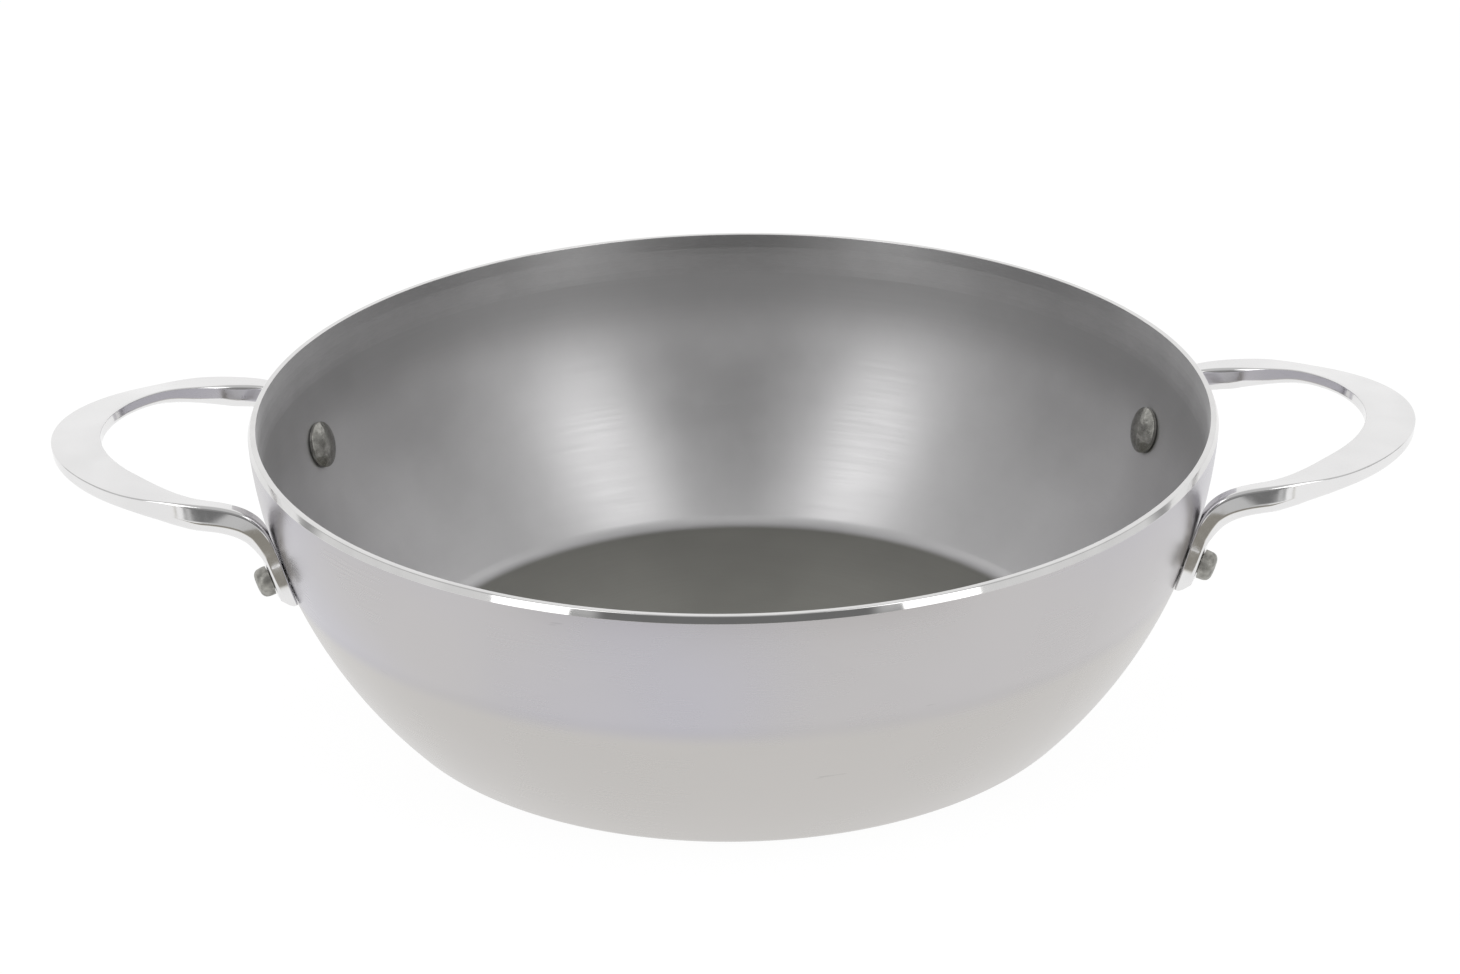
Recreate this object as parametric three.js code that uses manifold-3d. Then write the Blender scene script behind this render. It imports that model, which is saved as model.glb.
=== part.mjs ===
// Two-handled saute pan: a deep bowl pressed from thick steel sheet, two cast loop handles,
// and one solid rivet through each of the four handle feet.
// Millimetres, +Z up, the handles along X, the origin at the middle of the underside.

import * as THREE from 'three';
import { mergeVertices } from 'three/addons/utils/BufferGeometryUtils.js';
import Module from 'manifold-3d';

const wasm = await Module();
wasm.setup();

// Bowl
const RIM_RADIUS = 160; // outside of the wall at the top
const PAN_HEIGHT = 101.2;
const BASE_RADIUS = 112.5; // flat part of the underside
const CORNER_RADIUS = 11; // outside corner between the base and the wall
const RIM_LEAN = 2.7; // degrees the wall still leans outward at the top
const SHEET = 2.8;
const RIM_BEVEL_WIDTH = 1; // polished bevel ground on the outer edge of the rim
const RIM_BEVEL_HEIGHT = 2;
const RIM_INNER_ROUND = 0.3;

// Rivets
const RIVET_ANGLE = 19.3; // degrees from the handle's centre plane
const RIVET_DROP = 35.4; // below the rim, on the outside of the wall
const SHANK_DIAMETER = 6.4;
const INNER_HEAD_DIAMETER = 16;
const INNER_HEAD_HEIGHT = 3;
const INNER_HEAD_FULLNESS = 2.3; // 2 is a plain dome, more is squarer
const OUTER_HEAD_DIAMETER = 9.8;
const OUTER_HEAD_HEIGHT = 4.1;
const OUTER_HEAD_FULLNESS = 3;

// Handle foot, the tongue that lies on the wall
const FOOT_WIDTH = 14; // below the rivet
const FOOT_DEPTH = 4.5;
const FOOT_PAD_MARGIN = 0.5; // flat pad past the rivet head
const FOOT_TOE_LENGTH = 4.6; // tapered end below the pad
const FOOT_TOE_DEPTH = 2.8;
const FOOT_TOE_ROUND = 3.5; // corners of the end, seen from the front
const FOOT_NECK_LENGTH = 6; // above the pad, still on the wall
const FOOT_NECK_WIDTH = 8.8; // where it leaves the wall

// Handle bend, from the foot to the leg
const BEND_REACH = 21.2; // outward
const BEND_RISE = 14.25; // upward
const BEND_INSET = 1.7; // toward the handle's centre plane
const BEND_PULL = 11.5; // how long the top keeps the direction of the foot, then of the leg
const BEND_UNDER_PULL = 9; // the same on the hollow side
const BEND_WIDTH = 6.4;

// Handle leg, where the band is narrow, deep and turned to face inward
const LEG_WIDTH = 7.2;
const LEG_OUTER_DEPTH = 9.4;
const LEG_INNER_DEPTH = 7.6;
const LEG_TILT = 8; // degrees, the outer edge above the inner one
const LEG_TURN = 6; // degrees toward the handle's centre plane
const LEG_OUTER_DRAFT = 14.5; // degrees that each side leans, wider below
const LEG_INNER_DRAFT = 24;

// Handle shoulder, where the band has rolled over to face outward
const SHOULDER_LENGTH = 31; // along the loop from the leg
const SHOULDER_WIDTH = 12.2;
const SHOULDER_OUTER_DEPTH = 6.8;
const SHOULDER_INNER_DEPTH = 4.2;
const SHOULDER_TILT = -14;

// Handle grip, the broad thin band at the tip
const HANDLE_REACH = 66.5; // past the rim
const GRIP_WIDTH = 16.6;
const GRIP_DEPTH = 4.8;
const GRIP_TILT = -9.5;
const LOOP_RISE = 5; // degrees the loop climbs on the way out
const LOOP_LEG_PULL = 26.5; // fullness of the loop's shoulder
const LOOP_TIP_PULL = 25; // fullness of the loop's tip

// Edges of the casting
const TOP_ROUND = 0.6; // crisp edges of the top
const LEG_TOP_ROUND = 0.9; // the same edges on the leg, down to the back of the feet
const CRISP_LENGTH = 16; // along the loop from the leg to the crisp edges
const FOOT_ROUND = 1.1; // softer edges on the other side
const BEND_ROUND = 4;
const LEG_ROUND = 3.4;
const GRIP_ROUND = 1.5;

// Fit
const CLEARANCE = 0.3; // between pieces that seat on each other

// Smoothness
const BOWL_SEGMENTS = 96;
const RIVET_SEGMENTS = 20;
const BORE_SEGMENTS = 24;

const radians = THREE.MathUtils.degToRad;
const mix = THREE.MathUtils.lerp;
const ease = (t) => THREE.MathUtils.smoothstep(t, 0, 1);

const steelSatin = { color: 0xb4b2af, roughness: 0.34, metalness: 1 };
const steelPolished = { color: 0xdcdbda, roughness: 0.12, metalness: 1 };
const steelDull = { color: 0x8d8a82, roughness: 0.5, metalness: 1 };

// Joins the shared corners of a closed surface and drops the faces that have no area.
function sewn(surface) {
  surface.deleteAttribute('normal');
  surface.deleteAttribute('uv');
  const merged = mergeVertices(surface, 1e-4);
  const corners = merged.index.array;
  const kept = [];
  for (let i = 0; i < corners.length; i += 3) {
    const [a, b, c] = corners.subarray(i, i + 3);
    if (a !== b && b !== c && c !== a) kept.push(a, b, c);
  }
  merged.setIndex(kept);
  return merged;
}

function toSolid(surface) {
  const vertProperties = new Float32Array(surface.attributes.position.array);
  const triVerts = new Uint32Array(surface.index.array);
  return new wasm.Manifold(new wasm.Mesh({ numProp: 3, vertProperties, triVerts }));
}

function toGeometry(solid) {
  const { vertProperties, triVerts } = solid.getMesh();
  const geometry = new THREE.BufferGeometry();
  geometry.setAttribute('position', new THREE.BufferAttribute(vertProperties, 3));
  geometry.setIndex(new THREE.BufferAttribute(triVerts, 1));
  geometry.computeVertexNormals();
  return geometry;
}

// Turns a profile of radius and height about Z; it starts and ends on the axis.
function revolve(profile, segments) {
  const lathe = new THREE.LatheGeometry(profile, segments);
  lathe.rotateX(Math.PI / 2);
  return sewn(lathe);
}

// Points on an arc, from one angle to another, both ends included.
function arc(centre, radius, from, to, steps) {
  const points = [];
  for (let i = 0; i <= steps; i++) {
    const angle = mix(from, to, i / steps);
    const spoke = new THREE.Vector2(Math.cos(angle), Math.sin(angle));
    points.push(spoke.multiplyScalar(radius).add(centre));
  }
  return points;
}

// A quarter of a button's outline, from its edge to its crown.
function crown(radius, height, fullness, steps) {
  const points = [];
  for (let i = 0; i <= steps; i++) {
    const angle = (Math.PI / 2) * (i / steps);
    const x = i === steps ? 0 : radius * Math.cos(angle) ** (2 / fullness);
    points.push(new THREE.Vector2(x, height * Math.sin(angle) ** (2 / fullness)));
  }
  return points;
}

// The wall is one large arc that leans out at the rim and runs into the corner arc without a kink.
function wallArc() {
  const lean = radians(RIM_LEAN);
  const across = RIM_RADIUS - BASE_RADIUS;
  const up = PAN_HEIGHT - CORNER_RADIUS;
  const slack = across * Math.cos(lean) - up * Math.sin(lean) - CORNER_RADIUS;
  const radius = (across ** 2 + up ** 2 - CORNER_RADIUS ** 2) / (2 * slack);
  const rim = new THREE.Vector2(RIM_RADIUS, PAN_HEIGHT);
  const centre = rim.sub(new THREE.Vector2(Math.cos(lean), -Math.sin(lean)).multiplyScalar(radius));
  const corner = new THREE.Vector2(BASE_RADIUS, CORNER_RADIUS);
  const meet = Math.atan2(corner.y - centre.y, corner.x - centre.x);
  return { radius, centre, corner, meet };
}

const wall = wallArc();

// Angle on the wall's arc at a height, on the surface that lies a distance outside the wall.
function wallAngle(height, outside = 0) {
  return Math.asin((height - wall.centre.y) / (wall.radius + outside));
}

// Place on the wall's arc: the point, its outward normal, and the directions up and along the wall.
function onWall(angle, outside, turn) {
  const radius = wall.centre.x + (wall.radius + outside) * Math.cos(angle);
  const height = wall.centre.y + (wall.radius + outside) * Math.sin(angle);
  const out = new THREE.Vector3(Math.cos(turn), Math.sin(turn), 0);
  const point = out.clone().multiplyScalar(radius).setZ(height);
  const normal = out.clone().multiplyScalar(Math.cos(angle)).setZ(Math.sin(angle));
  const upward = out.clone().multiplyScalar(-Math.sin(angle)).setZ(Math.cos(angle));
  const along = new THREE.Vector3(-Math.sin(turn), Math.cos(turn), 0);
  return { point, normal, upward, along };
}

// Moves a point that lies too near the wall out to the clearance.
function clearOfWall(point) {
  const radius = Math.hypot(point.x, point.y);
  const place = new THREE.Vector2(radius, point.z);
  const gap = place.distanceTo(wall.centre) - wall.radius;
  if (gap < CLEARANCE) {
    place.sub(wall.centre).setLength(wall.radius + CLEARANCE).add(wall.centre);
    point.multiplyScalar(place.x / radius);
    point.z = place.y;
  }
  return point;
}

const rivetAngle = wallAngle(PAN_HEIGHT - RIVET_DROP);
const padReach = OUTER_HEAD_DIAMETER / 2 + FOOT_PAD_MARGIN;

// A rod along +Z that clears the shank and passes through the wall and the foot, with a flat at the top.
function shankBore() {
  const radius = SHANK_DIAMETER / 2 + CLEARANCE;
  const length = 4 * (SHEET + FOOT_DEPTH + CLEARANCE);
  const rod = new THREE.CylinderGeometry(radius, radius, length, BORE_SEGMENTS);
  rod.rotateX(Math.PI / 2);
  rod.rotateZ(Math.PI / BORE_SEGMENTS);
  return rod;
}

// Stands a shape on the wall at a rivet's place, with +Z along the wall's outward normal.
function rivetPlace(turn) {
  const { point, normal, upward, along } = onWall(rivetAngle, 0, turn);
  return new THREE.Matrix4().makeBasis(along, upward, normal).setPosition(point);
}

function boreAt(turn) {
  return toSolid(sewn(shankBore().applyMatrix4(rivetPlace(turn))));
}

const rivetTurns = [-radians(RIVET_ANGLE), radians(RIVET_ANGLE)];

function makeBowl() {
  const { radius, centre, corner, meet } = wall;
  const inside = radius - SHEET;
  const outerTop = wallAngle(PAN_HEIGHT - RIM_BEVEL_HEIGHT);
  const innerEdge = centre.x + Math.sqrt(inside ** 2 - (PAN_HEIGHT - centre.y) ** 2);
  const outerEdge = centre.x + Math.sqrt(radius ** 2 - (PAN_HEIGHT - centre.y) ** 2);
  const innerTop = wallAngle(PAN_HEIGHT - RIM_INNER_ROUND, -SHEET);
  const down = -Math.PI / 2;
  const cornerSteps = 5;
  const wallSteps = 9;
  const profile = [
    new THREE.Vector2(0, 0),
    ...arc(corner, CORNER_RADIUS, down, meet, cornerSteps),
    ...arc(centre, radius, meet, outerTop, wallSteps).slice(1),
    new THREE.Vector2(outerEdge - RIM_BEVEL_WIDTH, PAN_HEIGHT),
    new THREE.Vector2(innerEdge + RIM_INNER_ROUND, PAN_HEIGHT),
    ...arc(centre, inside, innerTop, meet, wallSteps),
    ...arc(corner, CORNER_RADIUS - SHEET, meet, down, cornerSteps).slice(1),
    new THREE.Vector2(0, SHEET),
  ];
  let bowl = toSolid(revolve(profile, BOWL_SEGMENTS));
  for (const turn of [...rivetTurns, ...rivetTurns.map((turn) => turn + Math.PI)]) {
    bowl = bowl.subtract(boreAt(turn));
  }
  return toGeometry(bowl);
}

// One rivet along +Z with the outside of the wall at zero: a broad low head inside the pan,
// domed below to fit the hollow wall, and a smaller upset button on the foot.
function makeRivet() {
  const shank = SHANK_DIAMETER / 2;
  const innerHead = INNER_HEAD_DIAMETER / 2;
  const hollow = (reach) => reach ** 2 / (2 * Math.min(wall.radius, RIM_RADIUS - SHEET));
  const innerSeat = -SHEET - CLEARANCE;
  const innerRim = innerSeat - hollow(innerHead);
  const outerSeat = CLEARANCE + FOOT_DEPTH + CLEARANCE;
  const headSteps = 6;
  const inner = crown(innerHead, INNER_HEAD_HEIGHT, INNER_HEAD_FULLNESS, headSteps).reverse();
  const outer = crown(OUTER_HEAD_DIAMETER / 2, OUTER_HEAD_HEIGHT, OUTER_HEAD_FULLNESS, headSteps);
  const profile = [
    ...inner.map(({ x, y }) => new THREE.Vector2(x, innerRim - y)),
    new THREE.Vector2(shank, innerSeat - hollow(shank)),
    new THREE.Vector2(shank, outerSeat),
    ...outer.map(({ x, y }) => new THREE.Vector2(x, outerSeat + y)),
  ];
  return toGeometry(toSolid(revolve(profile, RIVET_SEGMENTS)));
}

// A smooth reading of values given at rising places, flat at both ends and with no overshoot.
function through(places, values) {
  const rises = values.slice(1).map((value, i) => (value - values[i]) / (places[i + 1] - places[i]));
  const slopes = values.map((_, i) => {
    const before = rises[i - 1] ?? 0;
    const after = rises[i] ?? 0;
    return before * after > 0 ? (2 * before * after) / (before + after) : 0;
  });
  return (place) => {
    let i = 0;
    while (i + 2 < places.length && place > places[i + 1]) i++;
    const span = places[i + 1] - places[i];
    const t = THREE.MathUtils.clamp((place - places[i]) / span, 0, 1);
    const s = 1 - t;
    const ends = values[i] * s * s * (1 + 2 * t) + values[i + 1] * t * t * (1 + 2 * s);
    return ends + span * s * t * (slopes[i] * s - slopes[i + 1] * t);
  };
}

// Stations along one half of the handle, from the toe of the foot to the tip of the loop. Each has
// the middle of the top face, the direction across the band, the direction into the metal, and the
// section. Places are lengths along the top face from the rivet.
function halfHandle() {
  const turn = radians(RIVET_ANGLE);
  const footAt = (place) => onWall(rivetAngle + place / (wall.radius + CLEARANCE), CLEARANCE, turn);
  const toe = -padReach - FOOT_TOE_LENGTH;
  const neck = padReach + FOOT_NECK_LENGTH;

  // The top of the bend leaves the wall at the neck and ends in the leg, which runs out in the
  // loop's climbing plane and a little inward.
  const top = footAt(neck);
  const climb = radians(LOOP_RISE);
  const legTurn = radians(LEG_TURN);
  const legWay = new THREE.Vector3(Math.cos(climb), 0, Math.sin(climb))
    .multiplyScalar(Math.cos(legTurn))
    .setY(-Math.sin(legTurn));
  const loopUp = new THREE.Vector3(-Math.sin(climb), 0, Math.cos(climb));
  const rolled = (way, roll) => {
    const flat = new THREE.Vector3().crossVectors(loopUp, way).normalize();
    return flat.multiplyScalar(Math.cos(roll)).addScaledVector(loopUp, Math.sin(roll));
  };
  const legStart = top.point.clone().add(new THREE.Vector3(BEND_REACH, -BEND_INSET, BEND_RISE));
  const legAcross = rolled(legWay, radians(LEG_TILT));
  const legInto = new THREE.Vector3().crossVectors(legAcross, legWay);
  const turnOut = (from, up, to, pull) =>
    new THREE.CubicBezierCurve3(
      from,
      from.clone().addScaledVector(up, pull),
      to.clone().addScaledVector(legWay, -pull),
      to,
    );
  const bend = turnOut(top.point, top.upward, legStart, BEND_PULL);

  // The hollow side of the bend starts at the edge of the pad.
  const pad = footAt(padReach);
  const padFace = pad.point.clone().addScaledVector(pad.normal, FOOT_DEPTH);
  const legUnder = legStart.clone().addScaledVector(legInto, (LEG_OUTER_DEPTH + LEG_INNER_DEPTH) / 2);
  const bendUnder = turnOut(padFace, pad.upward, legUnder, BEND_UNDER_PULL);

  // The loop runs from the leg round to the tip, square to the centre plane there.
  const tipReach = RIM_RADIUS + HANDLE_REACH - (GRIP_WIDTH / 2) * Math.cos(climb + radians(GRIP_TILT));
  const tip = new THREE.Vector3(tipReach, 0, legStart.z + (tipReach - legStart.x) * Math.tan(climb));
  const loop = new THREE.CubicBezierCurve3(
    legStart,
    legStart.clone().addScaledVector(legWay, LOOP_LEG_PULL),
    tip.clone().add(new THREE.Vector3(0, LOOP_TIP_PULL, 0)),
    tip,
  );

  // Sizes that the casting passes through.
  const bendLength = bend.getLength();
  const leg = neck + bendLength;
  const end = leg + loop.getLength();
  const middle = (neck + leg) / 2;
  const loopPlaces = [leg, leg + SHOULDER_LENGTH, end];
  const width = through(
    [-padReach, neck, middle, ...loopPlaces],
    [FOOT_WIDTH, FOOT_NECK_WIDTH, BEND_WIDTH, LEG_WIDTH, SHOULDER_WIDTH, GRIP_WIDTH],
  );
  const footDepth = through([toe, -padReach, padReach], [FOOT_TOE_DEPTH, FOOT_DEPTH, FOOT_DEPTH]);
  const outerDepth = through(loopPlaces, [LEG_OUTER_DEPTH, SHOULDER_OUTER_DEPTH, GRIP_DEPTH]);
  const innerDepth = through(loopPlaces, [LEG_INNER_DEPTH, SHOULDER_INNER_DEPTH, GRIP_DEPTH]);
  const tilt = through(loopPlaces, [LEG_TILT, SHOULDER_TILT, GRIP_TILT].map(radians));
  const legPlaces = [padReach, leg, leg + CRISP_LENGTH];
  const outerDraft = through(legPlaces, [0, radians(LEG_OUTER_DRAFT), 0]);
  const innerDraft = through(legPlaces, [0, radians(LEG_INNER_DRAFT), 0]);
  const topRound = through(legPlaces, [LEG_TOP_ROUND, LEG_TOP_ROUND, TOP_ROUND]);
  const lowRound = through(
    [padReach, middle, leg, end],
    [FOOT_ROUND, BEND_ROUND, LEG_ROUND, GRIP_ROUND],
  );

  const stations = [];
  const add = (place, point, across, into, outer, inner, trim = 0) => {
    const outerSide = { depth: outer, draft: outerDraft(place) };
    const innerSide = { depth: inner, draft: innerDraft(place) };
    const rounds = { top: topRound(place), low: lowRound(place) };
    const section = bandSection(width(place) - trim, outerSide, innerSide, rounds);
    stations.push({ point, across, into, section });
  };
  const addFoot = (place, trim) => {
    const { point, normal, along } = footAt(place);
    add(place, point, along, normal, footDepth(place), footDepth(place), trim);
  };
  const toeSteps = 4;
  for (let i = 0; i <= toeSteps; i++) {
    const angle = (Math.PI / 2) * (i / toeSteps);
    addFoot(toe + FOOT_TOE_ROUND * (1 - Math.cos(angle)), 2 * FOOT_TOE_ROUND * (1 - Math.sin(angle)));
  }
  for (const place of [-padReach, 0]) addFoot(place);

  const bendSteps = 13;
  const wedge = (LEG_OUTER_DEPTH - LEG_INNER_DEPTH) / 2;
  for (let i = 0; i <= bendSteps; i++) {
    const t = i / bendSteps;
    const place = mix(padReach, leg, t);
    const past = Math.min((place - neck) / bendLength, 1);
    const point = past < 0 ? footAt(place).point : bend.getPointAt(past);
    const into = bendUnder.getPointAt(t).sub(point);
    const depth = into.length();
    into.normalize();
    const across = pad.along.clone().lerp(legAcross, ease(t));
    across.addScaledVector(into, -across.dot(into)).normalize();
    add(place, point, across, into, depth + wedge * ease(t), depth - wedge * ease(t));
  }
  const loopSteps = 15;
  for (let i = 1; i <= loopSteps; i++) {
    const t = i / loopSteps;
    const place = mix(leg, end, t);
    const way = loop.getTangentAt(t);
    const across = rolled(way, tilt(place));
    const into = new THREE.Vector3().crossVectors(across, way);
    add(place, loop.getPointAt(t), across, into, outerDepth(place), innerDepth(place));
  }
  return stations;
}

// A four-cornered outline with a round on each corner; the corners run clockwise, and two rounds
// share a side that is too short for both.
function rounded(corners, radii, steps) {
  return corners.flatMap((here, i) => {
    const before = corners.at(i - 1).clone().sub(here);
    const after = corners[(i + 1) % corners.length].clone().sub(here);
    const half = Math.acos(before.dot(after) / (before.length() * after.length())) / 2;
    const most = 0.48 * Math.min(before.length(), after.length());
    const reach = Math.min(radii[i] / Math.tan(half), most);
    const radius = reach * Math.tan(half);
    const middle = before.clone().normalize().add(after.clone().normalize());
    const centre = here.clone().add(middle.setLength(radius / Math.sin(half)));
    const from = here.clone().addScaledVector(before.normalize(), reach).sub(centre).angle();
    return arc(centre, radius, from, from - (Math.PI - 2 * half), steps[i]);
  });
}

// The band's section, as places across and into the metal: crisp edges on the top face, soft ones
// below, and sides that may lean out.
function bandSection(width, outer, inner, rounds) {
  const half = width / 2;
  const corners = [
    new THREE.Vector2(half, 0),
    new THREE.Vector2(-half, 0),
    new THREE.Vector2(-half - inner.depth * Math.tan(inner.draft), inner.depth),
    new THREE.Vector2(half + outer.depth * Math.tan(outer.draft), outer.depth),
  ];
  const crispSteps = 2;
  const softSteps = 4;
  const steps = [crispSteps, crispSteps, softSteps, softSteps];
  return rounded(corners, [rounds.top, rounds.top, rounds.low, rounds.low], steps);
}

// Skins a row of rings of equal count and closes both ends.
function loft(rings) {
  const count = rings[0].length;
  const positions = rings.flat().flatMap((point) => point.toArray());
  const index = [];
  for (let i = 0; i + 1 < rings.length; i++) {
    for (let j = 0; j < count; j++) {
      const a = i * count + j;
      const b = i * count + ((j + 1) % count);
      index.push(a, b + count, b, a, a + count, b + count);
    }
  }
  const last = (rings.length - 1) * count;
  for (let j = 1; j + 1 < count; j++) {
    index.push(0, j, j + 1);
    index.push(last, last + j + 1, last + j);
  }
  const surface = new THREE.BufferGeometry();
  surface.setAttribute('position', new THREE.Float32BufferAttribute(positions, 3));
  surface.setIndex(index);
  return sewn(surface);
}

function makeHandle() {
  const half = halfHandle();
  const flip = (v) => new THREE.Vector3(v.x, -v.y, v.z);
  const mirrored = half.map(({ point, across, into, section }) => ({
    point: flip(point),
    across: flip(across),
    into: flip(into),
    section,
  }));
  const stations = [...mirrored, ...half.slice(0, -1).reverse()];
  const rings = stations.map(({ point, across, into, section }) =>
    section.map(({ x, y }) => {
      const corner = point.clone().addScaledVector(across, x).addScaledVector(into, y);
      return clearOfWall(corner);
    }),
  );
  let handle = toSolid(loft(rings));
  for (const turn of rivetTurns) handle = handle.subtract(boreAt(turn));
  return toGeometry(handle);
}

function piece(name, geometry, finish) {
  const mesh = new THREE.Mesh(geometry, new THREE.MeshStandardMaterial(finish));
  mesh.name = name;
  return mesh;
}

const pan = new THREE.Group();
pan.add(piece('bowl', makeBowl(), steelSatin));

const handleGeometry = makeHandle();
const rivetGeometry = makeRivet();
for (const side of ['right', 'left']) {
  const group = new THREE.Group();
  group.rotation.z = side === 'right' ? 0 : Math.PI;
  group.add(piece(`handle_${side}`, handleGeometry, steelPolished));
  for (const turn of rivetTurns) {
    const front = (turn < 0) === (side === 'right');
    const rivet = piece(`rivet_${side}_${front ? 'front' : 'rear'}`, rivetGeometry, steelDull);
    rivet.applyMatrix4(rivetPlace(turn));
    group.add(rivet);
  }
  pan.add(group);
}

export default pan;
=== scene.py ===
"""Two-handled saute pan: a satin bowl with a polished rim, cast loop handles and dull rivets."""

import math

import bmesh
import bpy
from bpy.props import FloatProperty, FloatVectorProperty, IntProperty, PointerProperty
from mathutils import Matrix, Quaternion, Vector


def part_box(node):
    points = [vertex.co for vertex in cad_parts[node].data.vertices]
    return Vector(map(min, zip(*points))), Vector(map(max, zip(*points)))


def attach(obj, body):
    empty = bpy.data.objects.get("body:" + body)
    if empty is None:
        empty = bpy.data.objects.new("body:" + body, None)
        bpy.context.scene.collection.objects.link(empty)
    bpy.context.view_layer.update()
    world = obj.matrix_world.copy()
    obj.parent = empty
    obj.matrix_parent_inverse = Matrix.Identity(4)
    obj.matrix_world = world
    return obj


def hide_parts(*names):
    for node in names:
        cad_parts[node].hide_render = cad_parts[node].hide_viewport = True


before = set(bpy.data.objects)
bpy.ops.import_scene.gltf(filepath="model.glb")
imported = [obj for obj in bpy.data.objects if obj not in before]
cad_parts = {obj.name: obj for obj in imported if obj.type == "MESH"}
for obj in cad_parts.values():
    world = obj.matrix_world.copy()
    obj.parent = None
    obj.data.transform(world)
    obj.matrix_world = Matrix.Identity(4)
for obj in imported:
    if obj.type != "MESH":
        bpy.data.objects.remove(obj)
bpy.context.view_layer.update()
PAN_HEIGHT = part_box("bowl")[1].z
HANDLE_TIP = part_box("handle_right")[1].x

bl_info = {
    "name": "Two-handled saute pan",
    "version": (1, 0, 0),
    "blender": (4, 5, 0),
    "location": "3D View > Sidebar > Pan",
    "description": "Builds the pan's bowl, handles and rivets, and a studio to show it in",
    "category": "Add Mesh",
}

BODY = "root"
SIDES = {"right": 0.0, "left": math.pi}
WHITE = (1.0, 1.0, 1.0, 1.0)
SENSOR_WIDTH = 36  # Of the camera, in millimetres
GRIP_SETBACK = 0.06  # About what its rounded edge takes off the grip's reach, in millimetres
BAND_STRIPS = 4  # In the turned band under the rim
# Painted shade: the inner wall's colour is darkened to this share under the rim
PAINTED_SHADE_TONE = 0.72  # Of the inner wall where the turned band starts
NEAR_AXIS = 0.001  # Least distance from the axis at which a turn is read
CLOUD_RANGE = (0.25, 0.75)  # Dark and light of the noise
QUARTER_TURN = 0.25  # As the shader counts turns
SIDE_SHARE = 0.48  # Most of a side that the round of one corner takes
RIVET_EDGE = math.radians(50)  # A rivet's edges that turn more than this stay sharp


# Properties


def length(name, millimetres, description):
    """A length, given in millimetres and kept in metres."""
    return FloatProperty(
        name=name, description=description, default=millimetres / 1000, unit="LENGTH", precision=5
    )


def angle(name, degrees, description):
    """An angle, given in degrees and kept in radians."""
    return FloatProperty(
        name=name,
        description=description,
        default=math.radians(degrees),
        subtype="ANGLE",
        unit="ROTATION",
    )


def number(name, value, description):
    return FloatProperty(name=name, description=description, default=value)


def share(name, value, description):
    return FloatProperty(
        name=name, description=description, default=value, min=0, max=1, subtype="FACTOR"
    )


def count(name, value, description):
    return IntProperty(name=name, description=description, default=value, min=1)


def colour(name, rgb, description):
    return FloatVectorProperty(
        name=name, description=description, default=rgb, size=3, min=0, max=1, subtype="COLOR"
    )


class BowlSizes(bpy.types.PropertyGroup):
    """Sizes of the pressed bowl."""

    rim_radius: length("Rim radius", 160.4, "Outside of the wall at the top")
    height: length("Height", PAN_HEIGHT * 1000, "From the underside to the top of the rim")
    base_radius: length("Base radius", 112.5, "Flat part of the underside")
    corner_radius: length("Corner radius", 11, "Outside corner between the base and the wall")
    rim_lean: angle("Rim lean", 2.7, "How far the wall still leans outward at the top")
    sheet: length("Sheet", 2.8, "Thickness of the steel")
    bevel_width: length("Bevel width", 1.05, "Polished bevel on the outer edge of the rim, across")
    bevel_height: length("Bevel height", 2.2, "Polished bevel on the outer edge of the rim, upright")
    ledge_round: length("Ledge round", 0.5, "Round between the bevel and the flat of the rim")
    edge_round: length("Edge round", 0.18, "Round on the other edges of the rim")
    turned_band: length("Turned band", 14, "Height of the turned band inside, under the rim")
    # Over this band the inner wall's colour is also darkened as painted shade
    dull_and_shade_band: length("Dull band", 46, "From the rim to where the inner wall starts to dull")
    press_line: share("Press line", 0.57, "Height of the tint's edge outside, of the pan's height")
    segments: count("Segments", 256, "Facets round the bowl")


class RivetSizes(bpy.types.PropertyGroup):
    """Sizes and places of the rivets."""

    angle: angle("Angle", 19.3, "From the handle's centre plane")
    drop: length("Drop", 35.4, "Below the rim, on the outside of the wall")
    shank: length("Shank", 6.4, "Diameter of the shank")
    inner_head: length("Inner head", 16, "Diameter of the head inside the pan")
    inner_height: length("Inner height", 3.1, "Height of the head inside the pan")
    inner_side: length("Inner side", 1.1, "Upright side of the head inside the pan")
    inner_round: length("Inner round", 0.4, "Edge of the head inside the pan")
    outer_head: length("Outer head", 9.8, "Diameter of the button on the foot")
    outer_height: length("Outer height", 4.5, "Height of the button on the foot")
    outer_fullness: number("Outer fullness", 3.8, "2 is a plain dome, more is squarer")
    clearance: length("Clearance", 0.3, "Between pieces that seat on each other")
    segments: count("Segments", 64, "Facets round a rivet")


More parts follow.
